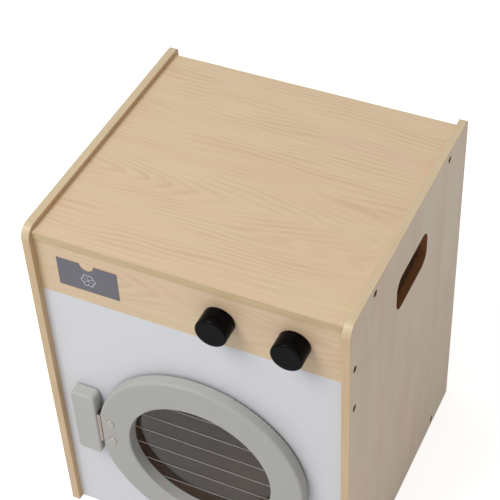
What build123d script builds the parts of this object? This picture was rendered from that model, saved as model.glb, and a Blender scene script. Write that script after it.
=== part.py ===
"""Toy washing machine: a board cabinet with a round hinged door and two turning knobs.

Millimetres. +Z is up, the front faces -Y and +X is to the right of someone facing it.
The origin is on the floor, under the middle of the whole object.
"""
from build123d import *

import os
from collections import namedtuple
from math import cos, radians, sin, sqrt, tan

# ---------------------------------------------------------------- driving dimensions
# Cabinet boards
cabinet_width = 360.0
cabinet_height = 446.0
side_depth = 336.0
board = 9.5                       # thickness of every laminated board
band = 0.8                        # thickness of the edging strips
band_round = 0.5                  # broken long edges of the edging
front_corner_radius = 14.0        # front top corner of each side
rear_corner_radius = 5.0          # rear top corner of each side
top_lip = 6.0                     # the sides stand this far above the top board
bottom_rise = 6.0                 # underside of the bottom board above the floor
top_setback = 6.0                 # front edge of the top board behind the sides' front edges
panel_recess = 7.5                # front face of the panels behind the sides' front edges
panel_floor_gap = 2.0             # the front panel ends this far above the floor
control_panel_height = 71.5
back_thickness = 3.0
back_inset = 3.5                  # back panel in front of the sides' rear edges
back_drop = 3.5                   # top of the back panel under the top board's surface

# Hand slots in the sides
slot_length = 90.0
slot_height = 45.5
slot_corner_radius = 15.0
slot_below_top = 79.0             # centre of the slot under the top of the side
slot_from_front = 171.0           # centre of the slot behind the front of the side

# Label plate on the control panel
label_width = 70.0
label_height = 37.5
label_thickness = 0.5
label_notch_radius = 8.2
label_margin = 24.5               # from the inner face of the left side

# Door and its window
door_centre_x = 7.0
door_centre_z = 165.8
door_radius = 124.3
door_bore_radius = 85.7
door_thickness = 15.0
door_edge_radius = 3.0            # soft outer edge on the front of the ring
door_bore_edge_radius = 1.5       # front edge of its bore
door_rear_edge_radius = 2.5       # outer edge on its back
door_gap = 1.0                    # between the ring and the front panel
door_hole_radius = 86.7           # hole in the front panel behind the window
pane_lip = 7.0                    # the pane reaches this far behind the ring, past its bore
pane_thickness = 1.2
line_count = 6
line_margin = 22.45               # outermost lines from the top and bottom of the bore
line_width = 1.3
line_thickness = 0.2
pane_screw_count = 6
pad_radius = 4.0
pad_angle = 38.0                  # pads above and below the catch, seen from the door's centre
pad_clearance = 0.1

# Hinge and its block
hinge_length = 44.0
hinge_rise = 5.0                  # middle of the hinge above the middle of the door
knuckle_radius = 2.4
leaf_thickness = 0.8
leaf_margin = 1.0                 # leaf's rear edge in front of the back of the door
pin_depth = 2.4                   # pin axis behind the front face of the door
hinge_screw_from_end = 7.5
flat_margin = 1.0                 # flat on the ring beyond the upper end of the hinge
block_width = 30.2
block_height = 94.6
block_rise = 0.8                  # middle of the block above the middle of the hinge
block_corner_radius = 6.0         # corners of the block, seen from the front
block_edge_radius = 2.5           # its front edges
block_rear_edge_radius = 1.2
block_screw_from_end = 16.0
cross_dowel_radius = 4.0
cross_dowel_floor = 3.5           # ring left behind each cross dowel
cross_dowel_from_flat = 12.5
cross_dowel_head_radius = 5.2     # domed head on the face of the door
cross_dowel_head_height = 1.3
cross_dowel_head_round = 1.1

# Catch
magnet_radius = 6.0
magnet_thickness = 4.0
strike_radius = 7.0
strike_thickness = 1.2

# Knobs
knob_radius = 17.5
knob_length = 21.0
knob_edge_radius = 1.2
knob_gap = 0.6                    # between a knob and the control panel
knob_pitch = 81.0
knob_margin = 51.5                # right knob's axis from the inner face of the right side
felt_radius = 12.0
insert_radius = 4.0
insert_length = 12.0
insert_beyond_screw = 2.0         # thread left in the insert past the screw's end
knob_screw_radius = 2.5
knob_screw_head_radius = 4.6
knob_screw_head_height = 3.0
knob_screw_head_round = 1.5
washer_radius = 6.5
washer_thickness = 1.0

# Screws and dowels that hold the boards
carcass_screw_radius = 2.0
carcass_screw_head_radius = 3.3
carcass_screw_head_height = 2.4
carcass_screw_length = 38.0
counterbore_radius = 3.5
counterbore_depth = 3.4
board_screw_from_front = 63.0     # screws through the sides into the top and bottom boards
board_screw_from_rear = 59.0
control_screw_above_joint = 20.0
front_screw_below_joint = 38.0
front_screw_above_floor = 85.0
dowel_radius = 3.0
dowel_length = 28.0
dowel_in_side = 6.5
dowel_from_screw = 32.0
joint_dowel_count = 4
joint_dowel_length = 24.0
joint_dowel_from_side = 20.5

# Small countersunk screws
small_screw_radius = 1.5
small_screw_head_radius = 2.9
back_screw_length = 14.0
block_screw_length = 20.0
strike_screw_length = 9.0
hinge_screw_head_radius = 2.7
hinge_screw_length = 14.0
pane_screw_radius = 1.1
pane_screw_head_radius = 2.3
pane_screw_length = 8.0
back_screws_per_edge = 4
screw_tip_radius = 0.15
screw_tip_angle = 30.0            # half the angle of a wood screw's point
recess_reach = 0.6                # driver recess in a screw's head, as shares of its radius
recess_half_width = 0.14
recess_depth = 0.3

# Clearances
running_clearance = 0.06          # a shaft that turns in its hole, on the radius
fit_clearance = 0.05              # fixed pieces in their pockets, on the radius
rub_clearance = 0.05              # faces that slide on each other as a knob turns
knuckle_gap = 0.2                 # between neighbouring hinge knuckles
swing_clearance = 0.5             # a leaf's front edge behind the other leaf's knuckles

# ---------------------------------------------------------------- places worked out from them
inner_x = cabinet_width / 2 - board
side_x = cabinet_width / 2
front_reach = max(knob_gap + knob_length, door_gap + door_thickness) - panel_recess
front = (front_reach - side_depth) / 2          # y of the sides' front edges
rear = front + side_depth
panel_front = front + panel_recess
panel_back = panel_front + board
panel_mid_y = panel_front + board / 2
top_front = front + top_setback
back_rear = rear - back_inset
back_front = back_rear - back_thickness
top_surface = cabinet_height - top_lip
top_under = top_surface - board
top_mid_z = top_surface - board / 2
back_high = top_surface - back_drop
bottom_mid_z = bottom_rise + board / 2
panel_joint_z = top_under - control_panel_height
control_mid_z = (panel_joint_z + top_under) / 2

door_back = panel_front - door_gap
door_front = door_back - door_thickness
flat_half = hinge_rise + hinge_length / 2 + flat_margin
flat_x = door_centre_x - sqrt(door_radius**2 - flat_half**2)
pin_x = flat_x - knuckle_radius
pin_y = door_front + pin_depth
pin_radius = knuckle_radius - leaf_thickness - running_clearance
hinge_mid_z = door_centre_z + hinge_rise
hinge_low = hinge_mid_z - hinge_length / 2
hinge_high = hinge_mid_z + hinge_length / 2
leaf_front = pin_y + knuckle_radius + swing_clearance
leaf_rear = door_back - leaf_margin
block_right = pin_x - knuckle_radius
pane_radius = door_bore_radius + pane_lip
pane_front = door_back - pane_thickness
catch_x = door_centre_x + (door_bore_radius + door_radius) / 2

to_left, to_right = (-1, 0, 0), (1, 0, 0)
to_front, to_rear = (0, -1, 0), (0, 1, 0)
upwards = (0, 0, 1)

Screw = namedtuple("Screw", "radius head_radius length")
back_screw = Screw(small_screw_radius, small_screw_head_radius, back_screw_length)
block_screw = Screw(small_screw_radius, small_screw_head_radius, block_screw_length)
strike_screw = Screw(small_screw_radius, small_screw_head_radius, strike_screw_length)
hinge_screw = Screw(small_screw_radius, hinge_screw_head_radius, hinge_screw_length)
pane_screw = Screw(pane_screw_radius, pane_screw_head_radius, pane_screw_length)

os.makedirs("parts", exist_ok=True)


# ---------------------------------------------------------------- shared shapes
def block_between(low, high):
    """Box between two corners."""
    size = [b - a for a, b in zip(low, high)]
    centre = [(a + b) / 2 for a, b in zip(low, high)]
    return Pos(*centre) * Box(*size)


def aim(point, direction, shape):
    """Turn a shape made along +Z so that it points along direction, and set it at point."""
    return Plane(origin=point, z_dir=direction).location * shape


def standing(shape_class, *sizes):
    """Box, cylinder or cone that stands on the origin."""
    return shape_class(*sizes, align=(Align.CENTER, Align.CENTER, Align.MIN))


def rod(point, direction, radius, length):
    """Solid cylinder from point along direction."""
    return aim(point, direction, standing(Cylinder, radius, length))


def pointed_shank(radius, length):
    """Screw shank along +Z from the origin, with its point at length."""
    point_length = (radius - screw_tip_radius) / tan(radians(screw_tip_angle))
    straight = length - point_length
    return (standing(Cylinder, radius, straight)
            + Pos(0, 0, straight) * standing(Cone, radius, screw_tip_radius, point_length))


def cross_recess(head_radius):
    """Cross-shaped driver recess, cut along +Z from the origin."""
    arm = standing(Box, 2 * recess_reach * head_radius, 2 * recess_half_width * head_radius,
                   recess_depth * head_radius)
    return arm + Rot(0, 0, 90) * arm


def countersunk_screw(point, direction, screw, pointed=True):
    """Countersunk screw: the flat of its head at point, its shank along direction."""
    head_height = screw.head_radius - screw.radius
    head = standing(Cone, screw.head_radius, screw.radius, head_height)
    shank = (pointed_shank(screw.radius, screw.length) if pointed
             else standing(Cylinder, screw.radius, screw.length))
    return aim(point, direction, head + shank - cross_recess(screw.head_radius))


def countersunk_hole(point, direction, screw):
    """Hole for a countersunk screw, with its clearance."""
    head_height = screw.head_radius - screw.radius
    hole_radius = screw.radius + fit_clearance
    return aim(point, direction,
               standing(Cone, screw.head_radius + fit_clearance, hole_radius, head_height)
               + standing(Cylinder, hole_radius, screw.length + fit_clearance))


def soften(shape, edges, radius, wall):
    """Round edges, by no more than the wall beside them allows."""
    return fillet(edges, min(radius, wall * 0.9)) if edges else shape


def save(name, *solids):
    """Write one named piece, or a group of like pieces, to its own file."""
    shape = solids[0] if len(solids) == 1 else Compound(children=list(solids))
    shape.label = name
    export_step(shape, f"parts/{name}.step")


# ---------------------------------------------------------------- sides and their edging
def side_outline(inset):
    """Outline of a side in the YZ plane, smaller by inset at the front, top and rear."""
    low_y, high_y, high_z = front + inset, rear - inset, cabinet_height - inset
    around = FilletPolyline((low_y, 0), (low_y, high_z), (high_y, high_z), (high_y, 0),
                            radius=[front_corner_radius - inset, rear_corner_radius - inset])
    return Plane.YZ * make_face(around.edges() + [Line((high_y, 0), (low_y, 0))])


def side_board(side, outline):
    """Board with this outline, on the left (-1) or on the right (1)."""
    return Pos(min(side * side_x, side * inner_x), 0, 0) * extrude(outline, board, dir=to_right)


# Screws and dowels through the sides into the other boards, as (y, z).
board_screw_ys = (front + board_screw_from_front, rear - board_screw_from_rear)
board_dowel_ys = (board_screw_ys[0] - dowel_from_screw, board_screw_ys[1] + dowel_from_screw)
carcass_screw_places = (
    [(y, z) for z in (top_mid_z, bottom_mid_z) for y in board_screw_ys]
    + [(panel_mid_y, panel_joint_z + control_screw_above_joint),
       (panel_mid_y, panel_joint_z - front_screw_below_joint),
       (panel_mid_y, front_screw_above_floor)])
carcass_dowel_places = [(y, z) for z in (top_mid_z, bottom_mid_z) for y in board_dowel_ys]
carcass_screw_reach = carcass_screw_head_height + carcass_screw_length


def carcass_screw(side, y, z):
    """Cheese-head screw at the bottom of its counterbore, driven inwards."""
    head_top = side * (side_x - counterbore_depth + carcass_screw_head_height)
    head = standing(Cylinder, carcass_screw_head_radius, carcass_screw_head_height)
    shank = pointed_shank(carcass_screw_radius, carcass_screw_reach)
    return aim((head_top, y, z), (-side, 0, 0), head + shank - cross_recess(carcass_screw_head_radius))


def carcass_screw_hole(side, y, z):
    """Counterbore and hole for one carcass screw, from the side's face inwards."""
    face, inward = (side * side_x, y, z), (-side, 0, 0)
    depth = counterbore_depth + carcass_screw_length + fit_clearance
    return (rod(face, inward, counterbore_radius, counterbore_depth)
            + rod(face, inward, carcass_screw_radius + fit_clearance, depth))


def carcass_dowel(side, y, z, clearance=0.0):
    """Dowel that stands in the side and reaches into a board's end."""
    start = (side * (inner_x + dowel_in_side + clearance), y, z)
    return rod(start, (-side, 0, 0), dowel_radius + clearance, dowel_length + 2 * clearance)


slot = Plane.YZ * Pos(front + slot_from_front, cabinet_height - slot_below_top) * RectangleRounded(
    slot_length, slot_height, slot_corner_radius)
carcass_cuts = []
for side, name in ((-1, "left"), (1, "right")):
    cuts = ([carcass_screw_hole(side, y, z) for y, z in carcass_screw_places]
            + [carcass_dowel(side, y, z, fit_clearance) for y, z in carcass_dowel_places])
    carcass_cuts += cuts
    save(f"side_panel_{name}", side_board(side, side_outline(band) - slot) - cuts)
    whole = side_board(side, side_outline(0))
    long_edges = whole.edges().filter_by(Axis.X, reverse=True).filter_by(lambda e: e.center().Z > band)
    edging = soften(whole, long_edges, band_round, band) - side_board(side, side_outline(band))
    save(f"side_edge_band_{name}", edging)
    save(f"carcass_screws_{name}", *[carcass_screw(side, y, z) for y, z in carcass_screw_places])
    save(f"carcass_dowels_{name}", *[carcass_dowel(side, y, z) for y, z in carcass_dowel_places])

# ---------------------------------------------------------------- top, bottom and back boards
back_screw_pitch = 2 * inner_x / back_screws_per_edge
back_screw_zs = ((top_under + back_high) / 2, bottom_mid_z)
back_screw_places = [(-inner_x + back_screw_pitch * (i + 0.5), back_rear, z)
                     for z in back_screw_zs for i in range(back_screws_per_edge)]
back_holes = [countersunk_hole(place, to_front, back_screw) for place in back_screw_places]
top_core = block_between((-inner_x, top_front + band, top_under), (inner_x, back_front, top_surface))
bottom_core = block_between((-inner_x, panel_back, bottom_rise), (inner_x, back_front, bottom_rise + board))
back_core = block_between((-inner_x, back_front, bottom_rise), (inner_x, back_rear, back_high))
save("top_board", top_core - carcass_cuts - back_holes)
save("bottom_board", bottom_core - carcass_cuts - back_holes)
save("back_panel", back_core - back_holes)
save("back_panel_screws",
     *[countersunk_screw(place, to_front, back_screw) for place in back_screw_places])

strip = block_between((-inner_x, top_front, top_under), (inner_x, top_front + band, top_surface))
save("top_edge_band", soften(strip, strip.edges().filter_by(Axis.X).group_by(Axis.Y)[0], band_round, band))

# ---------------------------------------------------------------- front boards
joint_dowel_pitch = 2 * (inner_x - joint_dowel_from_side) / (joint_dowel_count - 1)


def joint_dowel(index, clearance=0.0):
    """Upright dowel across the joint between the two front boards."""
    start = (joint_dowel_from_side - inner_x + index * joint_dowel_pitch, panel_mid_y,
             panel_joint_z - joint_dowel_length / 2 - clearance)
    return rod(start, upwards, dowel_radius + clearance, joint_dowel_length + 2 * clearance)


joint_cuts = [joint_dowel(i, fit_clearance) for i in range(joint_dowel_count)]
save("panel_joint_dowels", *[joint_dowel(i) for i in range(joint_dowel_count)])

knob_right_x = inner_x - knob_margin
knob_xs = {"left": knob_right_x - knob_pitch, "right": knob_right_x}
knob_holes = [rod((x, panel_front, control_mid_z), to_rear, knob_screw_radius + running_clearance, board)
              for x in knob_xs.values()]
control_core = block_between((-inner_x, panel_front, panel_joint_z), (inner_x, panel_back, top_under))
save("control_panel", control_core - carcass_cuts - joint_cuts - knob_holes)

# Label plate: a thin rectangle with a half-round notch in its top edge.
label_x = -inner_x + label_margin + label_width / 2
label_face = (Pos(label_x, control_mid_z) * Rectangle(label_width, label_height)
              - Pos(label_x, control_mid_z + label_height / 2) * Circle(label_notch_radius))
save("drawer_label", Pos(0, panel_front, 0) * extrude(Plane.XZ * label_face, label_thickness, dir=to_front))

block_mid_z = hinge_mid_z + block_rise
block_low, block_high = block_mid_z - block_height / 2, block_mid_z + block_height / 2
block_screw_places = [(block_right - block_width / 2, panel_back, z)
                      for z in (block_low + block_screw_from_end, block_high - block_screw_from_end)]
block_holes = [countersunk_hole(place, to_front, block_screw) for place in block_screw_places]
magnet_place = (catch_x, panel_front, door_centre_z)
magnet_pocket = rod(magnet_place, to_rear, magnet_radius + fit_clearance, magnet_thickness)
door_hole = rod((door_centre_x, panel_front, door_centre_z), to_rear, door_hole_radius, board)
front_core = block_between((-inner_x, panel_front, panel_floor_gap), (inner_x, panel_back, panel_joint_z))
save("front_panel", front_core - carcass_cuts - joint_cuts - block_holes - magnet_pocket - door_hole)
save("catch_magnet", rod(magnet_place, to_rear, magnet_radius, magnet_thickness))

# ---------------------------------------------------------------- hinge block and hinge
hinge_screw_y = (leaf_front + leaf_rear) / 2
hinge_screw_zs = (hinge_low + hinge_screw_from_end, hinge_high - hinge_screw_from_end)


def hinge_screw_starts(side):
    """Heads of the screws in one leaf, flush with its face that looks at the other leaf."""
    return [(pin_x + side * (knuckle_radius - leaf_thickness), hinge_screw_y, z) for z in hinge_screw_zs]


fixed_screw_holes = [countersunk_hole(place, to_left, hinge_screw) for place in hinge_screw_starts(-1)]
door_screw_holes = [countersunk_hole(place, to_right, hinge_screw) for place in hinge_screw_starts(1)]
block_core = block_between((block_right - block_width, door_front, block_low),
                           (block_right, panel_front, block_high))
block_core = soften(block_core, block_core.edges().filter_by(Axis.Y), block_corner_radius, block_width / 2)
block_core = soften(block_core, block_core.edges().group_by(Axis.Y)[0], block_edge_radius, block_width / 2)
block_core = soften(block_core, block_core.edges().group_by(Axis.Y)[-1], block_rear_edge_radius,
                    block_width / 2)
save("hinge_block", block_core - block_holes - fixed_screw_holes)
save("hinge_block_screws",
     *[countersunk_screw(place, to_front, block_screw) for place in block_screw_places])


def leaf(side, own_thirds):
    """Hinge leaf on one side of the pin, rolled into its own thirds of the barrel."""
    outer, inner = pin_x + side * knuckle_radius, pin_x + side * (knuckle_radius - leaf_thickness)
    low_x, high_x = min(outer, inner), max(outer, inner)
    shape = block_between((low_x, leaf_front, hinge_low), (high_x, leaf_rear, hinge_high))
    third = hinge_length / 3
    for index in own_thirds:
        low = hinge_low + index * third + (knuckle_gap / 2 if index > 0 else 0)
        high = hinge_low + (index + 1) * third - (knuckle_gap / 2 if index < 2 else 0)
        shape += block_between((low_x, pin_y, low), (high_x, leaf_front, high))
        shape += rod((pin_x, pin_y, low), upwards, knuckle_radius, high - low)
    return shape - rod((pin_x, pin_y, hinge_low), upwards, pin_radius + running_clearance, hinge_length)


save("hinge_fixed_leaf", leaf(-1, (0, 2)) - fixed_screw_holes)
save("hinge_door_leaf", leaf(1, (1,)) - door_screw_holes)
save("hinge_pin", rod((pin_x, pin_y, hinge_low), upwards, pin_radius, hinge_length))
save("hinge_fixed_screws",
     *[countersunk_screw(place, to_left, hinge_screw) for place in hinge_screw_starts(-1)])
save("hinge_door_screws",
     *[countersunk_screw(place, to_right, hinge_screw, pointed=False) for place in hinge_screw_starts(1)])

# Cross dowels: round nuts let into the ring from its face, each under a domed head.
cross_dowel_x = flat_x + cross_dowel_from_flat
cross_dowel_rear = door_back - cross_dowel_floor
cross_dowels, cross_dowel_pockets = [], []
for z in hinge_screw_zs:
    face = (cross_dowel_x, door_front, z)
    head = rod(face, to_front, cross_dowel_head_radius, cross_dowel_head_height)
    head = soften(head, head.edges().group_by(Axis.Y)[0], cross_dowel_head_round, cross_dowel_head_height)
    nut = rod(face, to_rear, cross_dowel_radius, cross_dowel_rear - door_front)
    cross_dowels.append(head + nut - door_screw_holes)
    cross_dowel_pockets.append(rod(face, to_rear, cross_dowel_radius + fit_clearance,
                                   cross_dowel_rear - door_front))
save("hinge_cross_dowels", *cross_dowels)


# ---------------------------------------------------------------- door
def on_door_back(radius, angle):
    """Point on the back of the ring at a radius from its centre and an angle from +X."""
    return (door_centre_x + radius * cos(radians(angle)), door_back,
            door_centre_z + radius * sin(radians(angle)))


door_middle = on_door_back(0, 0)
pane_screw_places = [on_door_back(door_bore_radius + pane_lip / 2, 360 / pane_screw_count * (i + 0.5))
                     for i in range(pane_screw_count)]
pane_holes = [countersunk_hole(place, to_front, pane_screw) for place in pane_screw_places]
strike_place = (catch_x, door_back, door_centre_z)
strike_hole = countersunk_hole(strike_place, to_front, strike_screw)
strike_pocket = rod(strike_place, to_front, strike_radius + fit_clearance, strike_thickness)

disc = rod(door_middle, to_front, door_radius, door_thickness)
disc = soften(disc, disc.edges().group_by(Axis.Y)[-1], door_rear_edge_radius, door_thickness)
door_bore = rod(door_middle, to_front, door_bore_radius, door_thickness)
beyond_flat = block_between((flat_x - door_radius, door_front, door_centre_z - door_radius),
                            (flat_x, door_back, door_centre_z + door_radius))
ring = disc - beyond_flat - door_bore
ring = soften(ring, ring.faces().sort_by(Axis.Y)[0].outer_wire().edges(), door_edge_radius, door_thickness)
ring = soften(ring, ring.faces().sort_by(Axis.Y)[0].inner_wires()[0].edges(), door_bore_edge_radius,
              door_thickness)
pane_rebate = rod(door_middle, to_front, pane_radius + fit_clearance, pane_thickness)
save("door_ring", ring - pane_rebate - door_screw_holes - cross_dowel_pockets
     - pane_holes - strike_pocket - strike_hole)
save("window_pane", rod(door_middle, to_front, pane_radius, pane_thickness) - pane_holes)
save("pane_screws", *[countersunk_screw(place, to_front, pane_screw) for place in pane_screw_places])
save("strike_plate", rod(strike_place, to_front, strike_radius, strike_thickness) - strike_hole)
save("strike_screw", countersunk_screw(strike_place, to_front, strike_screw))
save("door_pads", *[rod(on_door_back((door_hole_radius + door_radius) / 2, angle), to_rear,
                        pad_radius, door_gap - pad_clearance) for angle in (-pad_angle, pad_angle)])

# Lines across the front of the pane, each as long as the bore is wide at its height.
line_pitch = 2 * (door_bore_radius - line_margin) / (line_count - 1)
lines = []
for i in range(line_count):
    height = line_margin - door_bore_radius + i * line_pitch
    half_length = sqrt(door_bore_radius**2 - (abs(height) + line_width / 2) ** 2) - fit_clearance
    middle_z = door_centre_z + height
    lines.append(block_between(
        (door_centre_x - half_length, pane_front - line_thickness, middle_z - line_width / 2),
        (door_centre_x + half_length, pane_front, middle_z + line_width / 2)))
save("window_lines", *lines)

# ---------------------------------------------------------------- knobs
knob_back = panel_front - knob_gap
washer_front = panel_back + rub_clearance
washer_back = washer_front + washer_thickness
thread_length = washer_back - knob_back + insert_length - insert_beyond_screw
for name, x in knob_xs.items():
    seat = (x, knob_back, control_mid_z)
    under_head = (x, washer_back, control_mid_z)
    cap = rod(seat, to_front, knob_radius, knob_length)
    cap = soften(cap, cap.edges().group_by(Axis.Y)[0], knob_edge_radius, knob_radius)
    pocket = rod(seat, to_front, insert_radius + fit_clearance, insert_length + fit_clearance)
    save(f"knob_{name}", cap - pocket)
    bore = rod(under_head, to_front, knob_screw_radius + fit_clearance, thread_length + fit_clearance)
    save(f"knob_insert_{name}", rod(seat, to_front, insert_radius, insert_length) - bore)
    save(f"knob_felt_{name}", rod(seat, to_rear, felt_radius, knob_gap - rub_clearance) - bore)
    washer = rod((x, washer_front, control_mid_z), to_rear, washer_radius, washer_thickness)
    save(f"knob_washer_{name}", washer - bore)
    head = rod(under_head, to_rear, knob_screw_head_radius, knob_screw_head_height)
    head = soften(head, head.edges().group_by(Axis.Y)[-1], knob_screw_head_round, knob_screw_head_height)
    recess = aim((x, washer_back + knob_screw_head_height, control_mid_z), to_front,
                 cross_recess(knob_screw_head_radius))
    save(f"knob_screw_{name}", head - recess + rod(under_head, to_front, knob_screw_radius, thread_length))
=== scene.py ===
import math

import bmesh
import bpy
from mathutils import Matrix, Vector


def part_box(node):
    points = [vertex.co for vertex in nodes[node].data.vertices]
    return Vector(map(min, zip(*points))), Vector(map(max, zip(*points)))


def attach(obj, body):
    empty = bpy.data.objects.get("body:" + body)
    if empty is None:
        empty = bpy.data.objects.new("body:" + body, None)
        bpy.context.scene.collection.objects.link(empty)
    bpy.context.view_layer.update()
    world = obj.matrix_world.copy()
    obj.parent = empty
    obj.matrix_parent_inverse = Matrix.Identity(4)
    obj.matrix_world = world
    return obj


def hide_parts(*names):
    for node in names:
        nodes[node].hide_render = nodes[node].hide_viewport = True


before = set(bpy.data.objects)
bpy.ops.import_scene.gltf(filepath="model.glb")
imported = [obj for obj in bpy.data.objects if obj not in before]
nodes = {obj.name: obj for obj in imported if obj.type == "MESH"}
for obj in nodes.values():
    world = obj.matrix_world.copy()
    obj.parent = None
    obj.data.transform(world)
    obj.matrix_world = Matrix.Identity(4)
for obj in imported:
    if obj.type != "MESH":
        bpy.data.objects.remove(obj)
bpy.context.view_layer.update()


# ------------------------------------------------------------------ sides
# The two sides are 9.5 mm particle board with a printed maple foil on both faces. A hand slot
# is routed through each, and its wall and the screw counterbores show the raw brown core.
mm = 0.001
weld = 0.002 * mm                 # corners closer than this are one


def linear(colour):
    """Linear colour from an sRGB hex value."""
    parts = [int(colour[i:i + 2], 16) / 255 for i in (1, 3, 5)]
    return [p / 12.92 if p <= 0.04045 else ((p + 0.055) / 1.055) ** 2.4 for p in parts] + [1.0]


def add(tree, kind, inputs=None, **settings):
    """Add a node with its settings. An input takes a value, a socket, or a node's first output."""
    made = tree.nodes.new(kind)
    for key, value in settings.items():
        setattr(made, key, value)
    for key, value in (inputs or {}).items():
        if isinstance(value, bpy.types.Node):
            value = next(out for out in value.outputs if out.enabled)
        if isinstance(value, bpy.types.NodeSocket):
            tree.links.new(value, made.inputs[key])
        else:
            made.inputs[key].default_value = value
    return made


def start_material(name):
    """Empty material, its tree, and the coordinates that all its patterns are drawn on."""
    material = bpy.data.materials.new(name)
    material.use_nodes = True
    tree = material.node_tree
    tree.nodes.clear()
    return material, tree, add(tree, "ShaderNodeTexCoord").outputs["Object"]


def finish_material(tree, inputs):
    """End a material in one Principled shader."""
    shader = add(tree, "ShaderNodeBsdfPrincipled", inputs)
    add(tree, "ShaderNodeOutputMaterial", {"Surface": shader})


def every(x, y, z):
    """Scale at which a pattern's features are x, y and z millimetres long."""
    return (1 / (x * mm), 1 / (y * mm), 1 / (z * mm))


def maple_foil(name, turn, seed, ring_gap=6.5, wander=4.0, contrast=0.36, heart=600.0, tip_gap=4000.0,
               pale="#D5C09C", warm="#D7BB9C"):
    """Printed maple melamine under a satin, faintly pored lacquer. Growth lines a few millimetres
    apart wander along the turned X, and close in pointed arches tip_gap apart round the heart line.
    The fibres, finer in real maple, are drawn 2 mm wide so that they show."""
    material, tree, coordinates = start_material(name)
    place = add(tree, "ShaderNodeMapping", {"Vector": coordinates, "Rotation": turn})
    axes = add(tree, "ShaderNodeSeparateXYZ", {0: place}).outputs
    spread = add(tree, "ShaderNodeMapping", {"Vector": place, "Location": seed,
                                             "Scale": every(190, 48, 70)})
    slow = add(tree, "ShaderNodeTexNoise", {"Vector": spread, "Scale": 1.0, "Detail": 1.0})
    spread = add(tree, "ShaderNodeMapping", {"Vector": place, "Location": seed,
                                             "Scale": every(70, 12, 30)})
    quick = add(tree, "ShaderNodeTexNoise", {"Vector": spread, "Scale": 1.0, "Detail": 1.0})
    aside = add(tree, "ShaderNodeMath", {0: axes["Y"], 1: heart * mm}, operation="SUBTRACT")
    aside = add(tree, "ShaderNodeMath", {0: aside, 1: ring_gap * mm}, operation="DIVIDE")
    square = add(tree, "ShaderNodeMath", {0: aside, 1: aside, 2: 1.0}, operation="MULTIPLY_ADD")
    level = add(tree, "ShaderNodeMath", {0: square}, operation="SQRT")
    lean = add(tree, "ShaderNodeMath", {0: axes["X"], 1: tip_gap * mm}, operation="DIVIDE")
    near = add(tree, "ShaderNodeMapRange", {"Value": level, "From Min": 3.0, "From Max": 9.0,
                                            "To Min": 1.0, "To Max": 0.15},
               interpolation_type="SMOOTHSTEP")
    rings = add(tree, "ShaderNodeMath", {0: lean, 1: near, 2: level}, operation="MULTIPLY_ADD")
    rings = add(tree, "ShaderNodeMath", {0: slow, 1: wander, 2: rings}, operation="MULTIPLY_ADD")
    rings = add(tree, "ShaderNodeMath", {0: quick, 1: wander / 4, 2: rings}, operation="MULTIPLY_ADD")
    phase = add(tree, "ShaderNodeMath", {0: rings}, operation="FRACT")
    rise = add(tree, "ShaderNodeMapRange", {"Value": phase, "From Min": 0.2, "From Max": 0.82},
               interpolation_type="SMOOTHSTEP")
    fall = add(tree, "ShaderNodeMapRange", {"Value": phase, "From Min": 0.82, "From Max": 1.0,
                                            "To Min": 1.0, "To Max": 0.0},
               interpolation_type="SMOOTHSTEP")
    line = add(tree, "ShaderNodeMath", {0: rise, 1: fall}, operation="MULTIPLY")
    spread = add(tree, "ShaderNodeMapping", {"Vector": place, "Location": seed,
                                             "Scale": every(120, 24, 40)})
    patches = add(tree, "ShaderNodeTexNoise", {"Vector": spread, "Scale": 1.0, "Detail": 1.0})
    strength = add(tree, "ShaderNodeMapRange", {"Value": patches, "From Min": 0.36, "From Max": 0.68,
                                                "To Min": 0.2 * contrast, "To Max": contrast},
                   interpolation_type="SMOOTHSTEP")
    line = add(tree, "ShaderNodeMath", {0: line, 1: strength}, operation="MULTIPLY")
    spread = add(tree, "ShaderNodeMapping", {"Vector": place, "Location": seed,
                                             "Scale": every(240, 30, 60)})
    drift = add(tree, "ShaderNodeTexNoise", {"Vector": spread, "Scale": 1.0, "Detail": 2.0})
    tone = add(tree, "ShaderNodeMapRange", {"Value": drift, "From Min": 0.36, "From Max": 0.64})
    colour = add(tree, "ShaderNodeMix", {0: tone, 6: linear(pale), 7: linear(warm)}, data_type="RGBA")
    colour = add(tree, "ShaderNodeMix", {0: line, 6: colour, 7: linear("#BC9474")}, data_type="RGBA")
    spread = add(tree, "ShaderNodeMapping", {"Vector": place, "Location": seed,
                                             "Scale": every(90, 2.0, 5)})
    fibres = add(tree, "ShaderNodeTexNoise", {"Vector": spread, "Scale": 1.0, "Detail": 3.0})
    shown = add(tree, "ShaderNodeMapRange", {"Value": fibres, "From Min": 0.4, "From Max": 0.72,
                                             "To Max": 0.24})
    colour = add(tree, "ShaderNodeMix", {0: shown, 6: colour, 7: linear("#C1A080")}, data_type="RGBA")
    satin = add(tree, "ShaderNodeMapRange", {"Value": patches, "From Min": 0.3, "From Max": 0.7,
                                             "To Min": 0.4, "To Max": 0.47})
    spread = add(tree, "ShaderNodeMapping", {"Vector": place, "Scale": every(9, 0.5, 3)})
    pores = add(tree, "ShaderNodeTexNoise", {"Vector": spread, "Scale": 1.0, "Detail": 3.0})
    relief = add(tree, "ShaderNodeBump", {"Height": pores, "Strength": 0.12, "Distance": 0.1 * mm})
    finish_material(tree, {"Base Color": colour, "Roughness": satin, "Normal": relief, "IOR": 1.5})
    return material


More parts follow.
